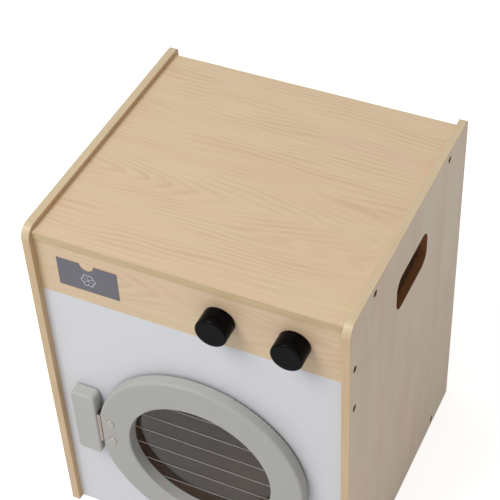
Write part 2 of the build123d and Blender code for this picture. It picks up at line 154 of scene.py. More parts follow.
def raw_core(name, deep, bright, chip):
    """Sawn particle board: pressed reddish brown chips 1 to 2 mm across, matt and rough."""
    material, tree, coordinates = start_material(name)
    spread = add(tree, "ShaderNodeMapping", {"Vector": coordinates, "Scale": every(1.4, 1.4, 1.4)})
    chips = add(tree, "ShaderNodeTexVoronoi", {"Vector": spread, "Scale": 1.0})
    chip_tone = add(tree, "ShaderNodeRGBToBW", {0: chips.outputs["Color"]})
    spread = add(tree, "ShaderNodeMapping", {"Vector": coordinates, "Scale": every(0.6, 0.6, 0.6)})
    dust = add(tree, "ShaderNodeTexNoise", {"Vector": spread, "Scale": 1.0, "Detail": 3.0})
    colour = add(tree, "ShaderNodeMix", {0: dust, 6: linear(deep), 7: linear(bright)},
                 data_type="RGBA")
    pale = add(tree, "ShaderNodeMapRange", {"Value": chip_tone, "From Min": 0.3, "From Max": 0.8,
                                            "To Max": 0.4})
    colour = add(tree, "ShaderNodeMix", {0: pale, 6: colour, 7: linear(chip)}, data_type="RGBA")
    relief = add(tree, "ShaderNodeBump", {"Height": dust, "Strength": 0.6, "Distance": 0.3 * mm})
    finish_material(tree, {"Base Color": colour, "Roughness": 0.85, "Normal": relief, "IOR": 1.5})
    return material


def shade(work, smooth):
    """Smooth shading that breaks at sharp edges and round every large flat face, so that it stays flat."""
    large, flat = 150 * mm * mm, 0.5     # an area, and an angle in degrees
    for face in work.faces:
        face.smooth = True
    for edge in work.edges:
        angle = math.degrees(edge.calc_face_angle(math.pi))
        beside_flat = any(face.calc_area() > large for face in edge.link_faces)
        edge.smooth = angle < smooth and not (beside_flat and angle > flat)


def dress(node, body, materials, pick=None, eased=(), smooth=30):
    """Piece with a CAD node's shape: welded, flat faces joined, chosen edges eased, round faces smooth.
    pick gives a face's material from its normal and centre, and each entry of eased is a width in
    millimetres and a test of an edge's middle."""
    one_face, corner = math.radians(0.3), math.radians(40)
    mesh = nodes[node].data.copy()
    mesh.name = node + "_dressed"
    for name in ("custom_normal", "sharp_edge", "sharp_face"):
        if name in mesh.attributes:
            mesh.attributes.remove(mesh.attributes[name])
    mesh.materials.clear()
    for material in materials:
        mesh.materials.append(material)
    work = bmesh.new()
    work.from_mesh(mesh)
    bmesh.ops.remove_doubles(work, verts=work.verts, dist=weld)
    bmesh.ops.dissolve_limit(work, angle_limit=one_face, verts=work.verts, edges=work.edges)
    work.normal_update()
    for width, chosen in eased:
        sharp = [edge for edge in work.edges
                 if len(edge.link_faces) == 2 and edge.calc_face_angle(0) > corner
                 and chosen((edge.verts[0].co + edge.verts[1].co) / 2 / mm)]
        bmesh.ops.bevel(work, geom=sharp, offset=width * mm, offset_type="OFFSET", segments=3,
                        profile=0.5, affect="EDGES", clamp_overlap=False)
    work.normal_update()
    for face in work.faces:
        face.material_index = pick(face.normal, face.calc_center_median() / mm) if pick else 0
    shade(work, smooth)
    work.to_mesh(mesh)
    work.free()
    piece = bpy.data.objects.new(node + "_dressed", mesh)
    bpy.context.scene.collection.objects.link(piece)
    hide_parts(node)
    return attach(piece, body)


outer_face = 179.9                # just inside a side's outer face
slot_y, slot_z = 10.05, 367.0
slot_reach_y, slot_reach_z = 46, 24     # just past the slot's rim
rim_reach = 4                     # just past a counterbore's rim
top_middle, bottom_middle, panel_middle = 435.25, 10.75, -148.7
screw_places = [(y, z) for y in (-97.95, 116.05) for z in (top_middle, bottom_middle)]
screw_places += [(panel_middle, z) for z in (379.0, 321.0, 85.0)]


def on_slot(point):
    """Rim of the hand slot on a side's outer face."""
    beside = abs(point.y - slot_y) < slot_reach_y and abs(point.z - slot_z) < slot_reach_z
    return abs(point.x) > outer_face and beside


def on_counterbore(point):
    """Rim of a counterbore on a side's outer face."""
    near = min(math.hypot(point.y - y, point.z - z) for y, z in screw_places)
    return abs(point.x) > outer_face and near < rim_reach


def side_slot(normal, centre):
    """Slot of a side's face: 0 outside, 1 on every edge and wall, 2 inside, where the foil carries painted
    shade.
    """
    if abs(normal.x) < along_axis:
        return 1
    return 0 if abs(centre.x) > foil_from else 2


along_axis = 0.9                  # a normal's share along an axis, past which a face is square to it
foil_from = 179.7                 # a face further out than this has the outer foil
slot_rim, counterbore_rim = 0.35, 1.1
core = raw_core("raw_particle_core", "#5C3418", "#905728", "#A06A35")
upright = (0, math.pi / 2, 0)
for side, name in ((-1, "left"), (1, "right")):
    faces = maple_foil(f"maple_foil_{name}_side", upright, (side, 2 * side, 0), ring_gap=7.0,
                       wander=1.8, contrast=0.26, pale="#D0C0A6", warm="#D3BAA4")
    # The inner faces get a darker, warmer copy of the foil: painted shade and warm bounce light of the
    # recesses beside the front boards.
    shaded_inner_foil = maple_foil(f"maple_foil_{name}_side_inner", upright, (5, 3 * side, 0), ring_gap=7.0,
                       wander=1.8, contrast=0.3, pale="#C9AB7C", warm="#C8A478")
    dress(f"side_panel_{name}", "cabinet", [faces, core, shaded_inner_foil],
          pick=side_slot, eased=((slot_rim, on_slot), (counterbore_rim, on_counterbore)))


# ------------------------------------------------------------------ edging of the sides
# A 0.8 mm melamine strip is glued round the front, top and rear edge of each side and its long
# edges are scraped round. It has straight fine streaks and is a little deeper in tone.
def edging_strip(name, turn, pale, dark):
    """Melamine edging with straight streaks about 0.7 mm wide along the turned X."""
    material, tree, coordinates = start_material(name)
    place = add(tree, "ShaderNodeMapping", {"Vector": coordinates, "Rotation": turn})
    spread = add(tree, "ShaderNodeMapping", {"Vector": place, "Scale": every(70, 0.7, 0.7)})
    streaks = add(tree, "ShaderNodeTexNoise", {"Vector": spread, "Scale": 1.0, "Detail": 2.0})
    spread = add(tree, "ShaderNodeMapping", {"Vector": place, "Scale": every(60, 14, 14)})
    drift = add(tree, "ShaderNodeTexNoise", {"Vector": spread, "Scale": 1.0, "Detail": 1.0})
    shown = add(tree, "ShaderNodeMapRange", {"Value": streaks, "From Min": 0.35, "From Max": 0.75})
    colour = add(tree, "ShaderNodeMix", {0: shown, 6: linear(pale), 7: linear(dark)}, data_type="RGBA")
    shown = add(tree, "ShaderNodeMapRange", {"Value": drift, "From Min": 0.3, "From Max": 0.7,
                                             "To Max": 0.35})
    colour = add(tree, "ShaderNodeMix", {0: shown, 6: colour, 7: linear(dark)}, data_type="RGBA")
    relief = add(tree, "ShaderNodeBump", {"Height": streaks, "Strength": 0.1, "Distance": 0.1 * mm})
    finish_material(tree, {"Base Color": colour, "Roughness": 0.42, "Normal": relief, "IOR": 1.5})
    return material


# The streaks run along each strip's length: back along the top, and up along the front and rear.
edging_along = edging_strip("maple_edging_top", (0, 0, math.pi / 2), "#D3C09F", "#C5AD8A")
edging_up = edging_strip("maple_edging_upright", upright, "#D0B692", "#C0A37D")
corner_from = 432                 # height at which the strip turns over the front corner
for name in ("left", "right"):
    dress(f"side_edge_band_{name}", "cabinet", [edging_along, edging_up],
          pick=lambda normal, centre: 1 if centre.z < corner_from else 0)


# ------------------------------------------------------------------ top and bottom boards
# The same board lies across between the sides, with its grain from side to side. The top one has
# a darker edging strip along its front edge.
top_foil = maple_foil("maple_foil_top", (0, 0, 0), (3.3, 1.7, 0), heart=-36.0, tip_gap=35.0)
dress("top_board", "cabinet", [top_foil])
strip = edging_strip("maple_edging_front", (0, 0, 0), "#C9B38C", "#BAA076")
dress("top_edge_band", "cabinet", [strip])
bottom_foil = maple_foil("maple_foil_bottom", (0, 0, 0), (7.1, 9.2, 0), heart=60.0, tip_gap=50.0)
dress("bottom_board", "cabinet", [bottom_foil, core],
      pick=lambda normal, centre: 0 if abs(normal.z) > along_axis else 1)


# ------------------------------------------------------------------ back panel
# Hardboard 3 mm thick, let in between the sides and screwed to the top and bottom boards. Its
# face is printed in the same maple tone, with the fibres showing at its edges.
back_foil = maple_foil("maple_print_hardboard", (-math.pi / 2, 0, -math.pi / 2), (9, 4, 0), ring_gap=9.0,
                       contrast=0.3, heart=40.0, tip_gap=60.0)
dress("back_panel", "cabinet", [back_foil, core],
      pick=lambda normal, centre: 0 if abs(normal.y) > along_axis else 1)


# ------------------------------------------------------------------ dowels
# Fluted beech dowels are glued into the ends of the boards. They are hidden in the joints.
def beech():
    """Turned beech: pale pinkish brown with dark flecks 0.6 mm wide and 4 mm high."""
    material, tree, coordinates = start_material("turned_beech")
    spread = add(tree, "ShaderNodeMapping", {"Vector": coordinates, "Scale": every(0.6, 0.6, 4)})
    flecks = add(tree, "ShaderNodeTexNoise", {"Vector": spread, "Scale": 1.0, "Detail": 3.0})
    shown = add(tree, "ShaderNodeMapRange", {"Value": flecks, "From Min": 0.4, "From Max": 0.7})
    colour = add(tree, "ShaderNodeMix", {0: shown, 6: linear("#D2AC82"), 7: linear("#A97C53")},
                 data_type="RGBA")
    relief = add(tree, "ShaderNodeBump", {"Height": flecks, "Strength": 0.3, "Distance": 0.1 * mm})
    finish_material(tree, {"Base Color": colour, "Roughness": 0.6, "Normal": relief, "IOR": 1.5})
    return material


def finish_node(node, material):
    """Give a CAD node that keeps its own shape its material."""
    nodes[node].data.materials.clear()
    nodes[node].data.materials.append(material)


dowel_beech = beech()
for node in ("carcass_dowels_left", "carcass_dowels_right", "panel_joint_dowels"):
    finish_node(node, dowel_beech)


# ------------------------------------------------------------------ screws
# Steel screws with cross recesses. Brown-lacquered cheese heads lie at the bottom of the
# counterbores, and zinc-plated countersunk heads hold the back, the hinge and the window.
def plated_steel(name, base, tint, smooth=0.24, worn=0.42):
    """Plated steel: faintly mottled plating with fine handling scratches."""
    material, tree, coordinates = start_material(name)
    spread = add(tree, "ShaderNodeMapping", {"Vector": coordinates, "Scale": every(1.5, 1.5, 1.5)})
    mottle = add(tree, "ShaderNodeTexNoise", {"Vector": spread, "Scale": 1.0, "Detail": 3.0})
    spread = add(tree, "ShaderNodeMapping", {"Vector": coordinates, "Scale": every(0.25, 3.0, 0.25)})
    scratch = add(tree, "ShaderNodeTexNoise", {"Vector": spread, "Scale": 1.0, "Detail": 2.0})
    colour = add(tree, "ShaderNodeMix", {0: mottle, 6: linear(base), 7: linear(tint)}, data_type="RGBA")
    gloss = add(tree, "ShaderNodeMapRange", {"Value": scratch, "From Min": 0.3, "From Max": 0.8,
                                             "To Min": smooth, "To Max": worn})
    relief = add(tree, "ShaderNodeBump", {"Height": scratch, "Strength": 0.05, "Distance": 0.05 * mm})
    finish_material(tree, {"Base Color": colour, "Metallic": 1.0, "Roughness": gloss, "Normal": relief})
    return material


def start_group(name, sizes):
    """Geometry group that takes a mesh, a named size for each entry, and a material."""
    tree = bpy.data.node_groups.new(name, "GeometryNodeTree")
    tree.interface.new_socket("Geometry", in_out="INPUT", socket_type="NodeSocketGeometry")
    for label, kind in sizes.items():
        tree.interface.new_socket(label, in_out="INPUT", socket_type="NodeSocket" + kind)
    tree.interface.new_socket("Material", in_out="INPUT", socket_type="NodeSocketMaterial")
    tree.interface.new_socket("Geometry", in_out="OUTPUT", socket_type="NodeSocketGeometry")
    return tree, tree.nodes.new("NodeGroupInput").outputs


def finish_group(tree, made, material):
    """End a group in Realize Instances and Set Material."""
    real = add(tree, "GeometryNodeRealizeInstances", {0: made})
    done = add(tree, "GeometryNodeSetMaterial", {"Geometry": real, "Material": material})
    add(tree, "NodeGroupOutput", {0: done})


def grow(name, tree, values, points=(), lines=(), smooth=30):
    """Run a group on these points and lines with these values, and keep its result as a plain mesh."""
    base = bpy.data.meshes.new(name + "_base")
    base.from_pydata(points, lines, [])
    carrier = bpy.data.objects.new(name + "_carrier", base)
    bpy.context.scene.collection.objects.link(carrier)
    modifier = carrier.modifiers.new("grow", "NODES")
    modifier.node_group = tree
    for item in tree.interface.items_tree:
        if item.in_out == "INPUT" and item.name in values:
            modifier[item.identifier] = values[item.name]
    carrier.update_tag()
    evaluated = carrier.evaluated_get(bpy.context.evaluated_depsgraph_get())
    mesh = bpy.data.meshes.new_from_object(evaluated)
    bpy.data.objects.remove(carrier)
    mesh.name = name
    work = bmesh.new()
    work.from_mesh(mesh)
    bmesh.ops.remove_doubles(work, verts=work.verts, dist=weld)
    bmesh.ops.recalc_face_normals(work, faces=work.faces)
    shade(work, smooth)
    work.to_mesh(mesh)
    work.free()
    piece = bpy.data.objects.new(name, mesh)
    bpy.context.scene.collection.objects.link(piece)
    return piece


def turned_group():
    """Outline turned round its axis, with one corner rounded and a cross recess cut in its end, then
    set at every loose point. The outline's x is the radius and its y the depth along the axis."""
    tree, sizes = start_group("turned_piece", {
        "Round": "Float", "Rounded Corner": "Int", "Steps": "Int", "Recess Reach": "Float",
        "Recess Width": "Float", "Recess Depth": "Float", "Aim": "Vector"})
    section = add(tree, "GeometryNodeMeshToCurve", {"Mesh": sizes["Geometry"]})
    chosen = add(tree, "FunctionNodeCompare", {2: add(tree, "GeometryNodeInputIndex"),
                                               3: sizes["Rounded Corner"]},
                 data_type="INT", operation="EQUAL")
    radius = add(tree, "GeometryNodeSwitch", {"Switch": chosen, "False": 0.0, "True": sizes["Round"]},
                 input_type="FLOAT")
    section = add(tree, "GeometryNodeFilletCurve", {"Curve": section, "Radius": radius, "Count": 6},
                  mode="POLY")
    axis_radius, touching = 1e-6, 5e-6
    axis = add(tree, "GeometryNodeCurvePrimitiveCircle", {"Resolution": sizes["Steps"],
                                                          "Radius": axis_radius})
    axis = add(tree, "GeometryNodeSetCurveNormal", {"Curve": axis}, mode="Z_UP")
    spun = add(tree, "GeometryNodeCurveToMesh", {"Curve": axis, "Profile Curve": section})
    spun = add(tree, "GeometryNodeMergeByDistance", {"Geometry": spun, "Distance": touching})
    depth = add(tree, "ShaderNodeMath", {0: sizes["Recess Depth"], 1: 2.0}, operation="MULTIPLY")
    arm = add(tree, "ShaderNodeCombineXYZ", {0: sizes["Recess Reach"], 1: sizes["Recess Width"], 2: depth})
    arm = add(tree, "GeometryNodeMeshCube", {"Size": arm})
    turn = add(tree, "ShaderNodeMath", {0: add(tree, "GeometryNodeInputIndex"), 1: math.pi / 2},
               operation="MULTIPLY")
    turn = add(tree, "ShaderNodeCombineXYZ", {2: turn})
    both = add(tree, "GeometryNodePoints", {"Count": 2})
    cross = add(tree, "GeometryNodeInstanceOnPoints", {"Points": both, "Instance": arm, "Rotation": turn})
    cross = add(tree, "GeometryNodeRealizeInstances", {0: cross})
    cut = add(tree, "GeometryNodeMeshBoolean", {"Mesh 1": spun, "Mesh 2": cross, "Self Intersection": True},
              operation="DIFFERENCE", solver="EXACT")
    edges = add(tree, "GeometryNodeInputMeshVertexNeighbors").outputs["Vertex Count"]
    loose = add(tree, "FunctionNodeCompare", {2: edges, 3: 0}, data_type="INT", operation="EQUAL")
    places = add(tree, "GeometryNodeMeshToPoints", {"Mesh": sizes["Geometry"], "Selection": loose})
    made = add(tree, "GeometryNodeInstanceOnPoints", {"Points": places, "Instance": cut,
                                                      "Rotation": sizes["Aim"]})
    finish_group(tree, made, sizes["Material"])
    return tree


turned = turned_group()
to_front = (0, -1, 0)


def turn_piece(name, body, material, outline, places, direction, rounded=(0, 0), recess=(0, 0, 0),
               steps=32, smooth=30):
    """Turned piece at each place in millimetres, its axis along direction, in place of its CAD node.
    rounded is a corner's number and radius, and recess is a cross's reach, width and depth."""
    points = [(x * mm, y * mm, 0) for x, y in outline] + [[c * mm for c in place] for place in places]
    lines = [(i, i + 1) for i in range(len(outline) - 1)]
    aim = Vector((0, 0, -1)).rotation_difference(Vector(direction)).to_euler()
    piece = grow(name + "_turned", turned, {
        "Rounded Corner": rounded[0], "Round": rounded[1] * mm, "Steps": steps,
        "Recess Reach": recess[0] * mm, "Recess Width": recess[1] * mm, "Recess Depth": recess[2] * mm,
        "Aim": tuple(aim), "Material": material}, points, lines, smooth)
    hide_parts(name)
    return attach(piece, body)


def countersunk(name, body, places, direction, head, shank, length):
    """Countersunk screws with pointed ends. head and shank are radii, and the recess grows with head."""
    outline = [(0, 0), (head, 0), (shank, head - shank), (shank, length - small_point),
               (tip_radius, length), (0, length)]
    turn_piece(name, body, zinc, outline, places, direction,
               recess=(1.2 * head, 0.28 * head, 0.3 * head))


tip_radius, small_point, carcass_point = 0.15, 2.2, 3.2
zinc = plated_steel("zinc_plated_steel", "#B9B6AE", "#9A978F")
bronzed = plated_steel("brown_lacquered_steel", "#3E2A1D", "#2C1D14", 0.4, 0.55)
head_top, head_radius, head_height, shank_radius, reach = 179.0, 3.3, 2.4, 2.0, 40.4
cheese_outline = [(0, 0), (head_radius, 0), (head_radius, head_height), (shank_radius, head_height),
                  (shank_radius, reach - carcass_point), (tip_radius, reach), (0, reach)]
for side, name in ((-1, "left"), (1, "right")):
    turn_piece(f"carcass_screws_{name}", "cabinet", bronzed, cheese_outline,
               [(side * head_top, y, z) for y, z in screw_places], (-side, 0, 0),
               rounded=(1, 0.5), recess=(4.0, 0.95, 1.0))
small_head, small_shank = 2.9, 1.5
back_face, back_top_row, back_pitch = 171.55, 433.5, 85.25
back_places = [(back_pitch * (i - 1.5), back_face, z)
               for i in range(4) for z in (back_top_row, bottom_middle)]
countersunk("back_panel_screws", "cabinet", back_places, to_front, small_head, small_shank, length=14.0)


# ------------------------------------------------------------------ front boards
# The control panel is the maple board again. Below it is a white melamine board with the round
# hole behind the door. The wall of the hole is left raw.
def white_melamine():
    """White melamine: cool white, satin, with a faint orange peel 2 mm across."""
    material, tree, coordinates = start_material("white_melamine")
    spread = add(tree, "ShaderNodeMapping", {"Vector": coordinates, "Scale": every(120, 120, 120)})
    cloud = add(tree, "ShaderNodeTexNoise", {"Vector": spread, "Scale": 1.0, "Detail": 1.0})
    colour = add(tree, "ShaderNodeMix", {0: cloud, 6: linear("#D4D5D9"), 7: linear("#D0D1D5")},
                 data_type="RGBA")
    spread = add(tree, "ShaderNodeMapping", {"Vector": coordinates, "Scale": every(2.2, 2.2, 2.2)})
    peel = add(tree, "ShaderNodeTexNoise", {"Vector": spread, "Scale": 1.0, "Detail": 2.0})
    satin = add(tree, "ShaderNodeMapRange", {"Value": peel, "From Min": 0.3, "From Max": 0.7,
                                             "To Min": 0.36, "To Max": 0.42})
    relief = add(tree, "ShaderNodeBump", {"Height": peel, "Strength": 0.08, "Distance": 0.1 * mm})
    finish_material(tree, {"Base Color": colour, "Roughness": satin, "Normal": relief, "IOR": 1.5})
    return material


flat_front = (-math.pi / 2, 0, 0)
control_foil = maple_foil("maple_foil_control_panel", flat_front, (1.2, 6.4, 0), ring_gap=7.5,
                          contrast=0.3, heart=404.0, tip_gap=46.0)
dress("control_panel", "cabinet", [control_foil])
white = white_melamine()
# The hole's wall is a paler copy of the raw core: painted light on a wall that little light reaches.
hole_wall = raw_core("raw_particle_core_painted_light", "#82603A", "#9A7647", "#A48150")
dress("front_panel", "cabinet", [white, hole_wall],
      pick=lambda normal, centre: 0 if abs(normal.y) > along_axis else 1)


# ------------------------------------------------------------------ drawer label
# A thin grey plastic plate with a half-round finger notch, glued on to look like a soap drawer.
# A plain flower of six petals, drawn in white lines, is printed on it.
def grey_plastic():
    """Grey ABS sheet: even mid grey with a fine matt spark texture."""
    material, tree, coordinates = start_material("grey_abs_sheet")
    spread = add(tree, "ShaderNodeMapping", {"Vector": coordinates, "Scale": every(25, 25, 25)})
    cloud = add(tree, "ShaderNodeTexNoise", {"Vector": spread, "Scale": 1.0, "Detail": 1.0})
    colour = add(tree, "ShaderNodeMix", {0: cloud, 6: linear("#63636B"), 7: linear("#5D5D65")},
                 data_type="RGBA")
    spread = add(tree, "ShaderNodeMapping", {"Vector": coordinates, "Scale": every(0.8, 0.8, 0.8)})
    spark = add(tree, "ShaderNodeTexNoise", {"Vector": spread, "Scale": 1.0, "Detail": 3.0})
    relief = add(tree, "ShaderNodeBump", {"Height": spark, "Strength": 0.15, "Distance": 0.1 * mm})
    finish_material(tree, {"Base Color": colour, "Roughness": 0.5, "Normal": relief, "IOR": 1.5})
    return material


def printed_ink(name, full, thin):
    """Screen-printed ink: slightly uneven cover, a millimetre or so across."""
    material, tree, coordinates = start_material(name)
    spread = add(tree, "ShaderNodeMapping", {"Vector": coordinates, "Scale": every(1.2, 1.2, 1.2)})
    cover = add(tree, "ShaderNodeTexNoise", {"Vector": spread, "Scale": 1.0, "Detail": 2.0})
    colour = add(tree, "ShaderNodeMix", {0: cover, 6: linear(full), 7: linear(thin)}, data_type="RGBA")
    finish_material(tree, {"Base Color": colour, "Roughness": 0.5, "IOR": 1.5})
    return material


def flower_group():
    """Rounded petals in outline round a centre, each a flat printed loop, narrow at the middle."""
    tree, sizes = start_group("printed_flower", {
        "Petals": "Int", "Petal Length": "Float", "Petal Width": "Float", "Middle": "Float",
        "Line": "Float", "Ink": "Float", "Centre": "Vector"})
    ring = add(tree, "GeometryNodeCurvePrimitiveCircle", {"Resolution": 48, "Radius": 0.5})
    at = add(tree, "ShaderNodeSeparateXYZ", {0: add(tree, "GeometryNodeInputPosition")}).outputs
    share = add(tree, "ShaderNodeMath", {0: at["X"], 1: 0.5}, operation="ADD")
    narrow = add(tree, "ShaderNodeMath", {0: share, 1: 0.5}, operation="POWER")
    half = add(tree, "ShaderNodeMath", {0: at["Y"], 1: narrow}, operation="MULTIPLY")
    half = add(tree, "ShaderNodeMath", {0: half, 1: sizes["Petal Width"]}, operation="MULTIPLY")
    half = add(tree, "ShaderNodeMath", {0: half, 1: 1.3}, operation="MULTIPLY")
    out = add(tree, "ShaderNodeMath", {0: share, 1: sizes["Petal Length"], 2: sizes["Middle"]},
              operation="MULTIPLY_ADD")
    drawn = add(tree, "ShaderNodeCombineXYZ", {0: out, 1: half})
    petal = add(tree, "GeometryNodeSetPosition", {"Geometry": ring, "Position": drawn})
    points = add(tree, "GeometryNodePoints", {"Count": sizes["Petals"]})
    angle = add(tree, "ShaderNodeMath", {0: add(tree, "GeometryNodeInputIndex"), 1: 2 * math.pi},
                operation="MULTIPLY")
    angle = add(tree, "ShaderNodeMath", {0: angle, 1: sizes["Petals"]}, operation="DIVIDE")
    turn = add(tree, "ShaderNodeCombineXYZ", {2: angle})
    petals = add(tree, "GeometryNodeInstanceOnPoints", {"Points": points, "Instance": petal,
                                                        "Rotation": turn})
    loops = add(tree, "GeometryNodeRealizeInstances", {0: petals})
    section = add(tree, "GeometryNodeCurvePrimitiveQuadrilateral",
                  {"Width": sizes["Line"], "Height": sizes["Ink"]})
    swept = add(tree, "GeometryNodeCurveToMesh", {"Curve": loops, "Profile Curve": section})
    placed = add(tree, "GeometryNodeTransform", {"Geometry": swept, "Translation": sizes["Centre"],
                                                 "Rotation": (math.pi / 2, 0, 0)})
    finish_group(tree, placed, sizes["Material"])
    return tree


label_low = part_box("drawer_label")[0]
flower_x, flower_z, ink_inset = -110.7, 392.0, 0.02
dress("drawer_label", "cabinet", [grey_plastic()])
flower = grow("label_flower", flower_group(), {
    "Petals": 6, "Petal Length": 7.6 * mm, "Petal Width": 5.6 * mm, "Middle": 0.6 * mm, "Line": 0.6 * mm,
    "Ink": 0.08 * mm, "Centre": (flower_x * mm, label_low.y - ink_inset * mm, flower_z * mm),
    "Material": printed_ink("printed_white_ink", "#E2E2EC", "#CDCDD8")})
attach(flower, "cabinet")


# ------------------------------------------------------------------ hinge block
# A block of wood with rounded corners, painted like the door and screwed on from behind the front
# panel. It carries the fixed leaf of the hinge.
def grey_paint(name, full, thin):
    """Warm grey satin paint on wood: faint brush drag and small swings in gloss."""
    material, tree, coordinates = start_material(name)
    spread = add(tree, "ShaderNodeMapping", {"Vector": coordinates, "Scale": every(60, 60, 60)})
    cloud = add(tree, "ShaderNodeTexNoise", {"Vector": spread, "Scale": 1.0, "Detail": 1.0})
    colour = add(tree, "ShaderNodeMix", {0: cloud, 6: linear(full), 7: linear(thin)},
                 data_type="RGBA")
    spread = add(tree, "ShaderNodeMapping", {"Vector": coordinates, "Scale": every(6, 6, 1.6)})
    drag = add(tree, "ShaderNodeTexNoise", {"Vector": spread, "Scale": 1.0, "Detail": 3.0})
    satin = add(tree, "ShaderNodeMapRange", {"Value": drag, "From Min": 0.3, "From Max": 0.7,
                                             "To Min": 0.56, "To Max": 0.64})
    relief = add(tree, "ShaderNodeBump", {"Height": drag, "Strength": 0.1, "Distance": 0.2 * mm})
    finish_material(tree, {"Base Color": colour, "Roughness": satin, "Normal": relief, "IOR": 1.5,
                           "Specular IOR Level": 0.3})
    return material


def on_rear_rounding(normal, centre):
    """Slot of a face: 1 on the rounded rear edge, which gets a dark grey as painted shade of the gap behind
    it.
    """
    turning = 0.2 < normal.y < 0.96
    return 1 if turning and rounding_front < centre.y < rounding_rear else 0


rounding_front, rounding_rear = -157.2, -153.5
block_paint = grey_paint("grey_satin_paint_block", "#B5B4B0", "#B0AFAB")
# The rounded rear edges get a dark grey copy of the paint: painted shade of the narrow gap behind the block
# and the ring.
rear_edge_shade_paint = grey_paint("grey_paint_painted_shade_on_rear_edge", "#62615C", "#54534F")
dress("hinge_block", "cabinet", [block_paint, rear_edge_shade_paint], pick=on_rear_rounding)
block_x, panel_back = -134.0, -143.95
countersunk("hinge_block_screws", "cabinet", [(block_x, panel_back, z) for z in (140.3, 202.9)], to_front,
            small_head, small_shank, length=20.0)


# ------------------------------------------------------------------ hinge
# A 44 mm nickel-plated butt hinge: two leaves rolled round one pin. Cross dowels with domed
# heads in the face of the door take the screws of its leaf.
nickel = plated_steel("nickel_plated_steel", "#B3A79E", "#9A8E85")
pin_x, pin_y, rim_from, leaf_front, end_slack = -116.505, -167.05, 2.2, -164.6, 0.05
hinge_low, hinge_length, knuckle_gap, knuckle_bevel = 148.8, 44.0, 0.2, 0.5
knuckle_joints = [hinge_low + hinge_length * i / 3 for i in (1, 2)]
knuckle_ends = [hinge_low, hinge_low + hinge_length]
knuckle_ends += [z + side * knuckle_gap / 2 for z in knuckle_joints for side in (-1, 1)]


def on_knuckle_end(point):
    """Outer rim at the end of a knuckle."""
    rim = math.hypot(point.x - pin_x, point.y - pin_y) > rim_from and point.y < leaf_front
    return rim and min(abs(point.z - end) for end in knuckle_ends) < end_slack


dress("hinge_fixed_leaf", "cabinet", [nickel], eased=((knuckle_bevel, on_knuckle_end),))
dress("hinge_pin", "cabinet", [nickel])
dress("hinge_door_leaf", "door", [nickel], eased=((knuckle_bevel, on_knuckle_end),))
domes = plated_steel("satin_nickel_domes", "#B5B0A8", "#A09B93", 0.3, 0.42)
dress("hinge_cross_dowels", "door", [domes])
for node in ("hinge_fixed_screws", "hinge_door_screws"):
    finish_node(node, zinc)


# ------------------------------------------------------------------ door ring
# The door is a ring of board 15 mm thick with softened edges, painted grey. A flat is cut on its
# hinge side, a rebate in its back takes the window, and two holes take the cross dowels.
def on_outer_rear_rounding(normal, centre):
    """Slot of a face: 1 on the rounded rear edge round the outside of the ring, which gets painted shade.
    """
    outside = math.hypot(centre.x - door_x, centre.z - door_z) > between_edges
    return on_rear_rounding(normal, centre) if outside else 0


door_x, door_z = 7.0, 165.8
between_edges = 100               # radius between the bore and the outer edge
door_paint = grey_paint("grey_satin_paint_door", "#AEADA8", "#A9A8A4")
# The ring's outer rear edge gets the same painted shade as the block's.
dress("door_ring", "door", [door_paint, rear_edge_shade_paint], pick=on_outer_rear_rounding, smooth=25)


# ------------------------------------------------------------------ window
# A thin tinted acrylic pane is screwed into the rebate from behind. Six fine pale lines are
# printed across its front, each as long as the opening is wide at its height.
def tinted_acrylic():
    """Smoked acrylic: clear, brownish grey, its gloss a little dulled by cast ripples. An IOR below
    acrylic's 1.49 keeps its reflections as weak as the real pane's."""
    material, tree, coordinates = start_material("smoked_acrylic")
    spread = add(tree, "ShaderNodeMapping", {"Vector": coordinates, "Scale": every(70, 70, 70)})
    cast = add(tree, "ShaderNodeTexNoise", {"Vector": spread, "Scale": 1.0, "Detail": 1.0})
    colour = add(tree, "ShaderNodeMix", {0: cast, 6: linear("#C4B8B1"), 7: linear("#BFB1A8")},
                 data_type="RGBA")
    gloss = add(tree, "ShaderNodeMapRange", {"Value": cast, "From Min": 0.3, "From Max": 0.7,
                                             "To Min": 0.03, "To Max": 0.06})
    finish_material(tree, {"Base Color": colour, "Roughness": gloss, "IOR": 1.33,
                           "Transmission Weight": 1.0})
    return material


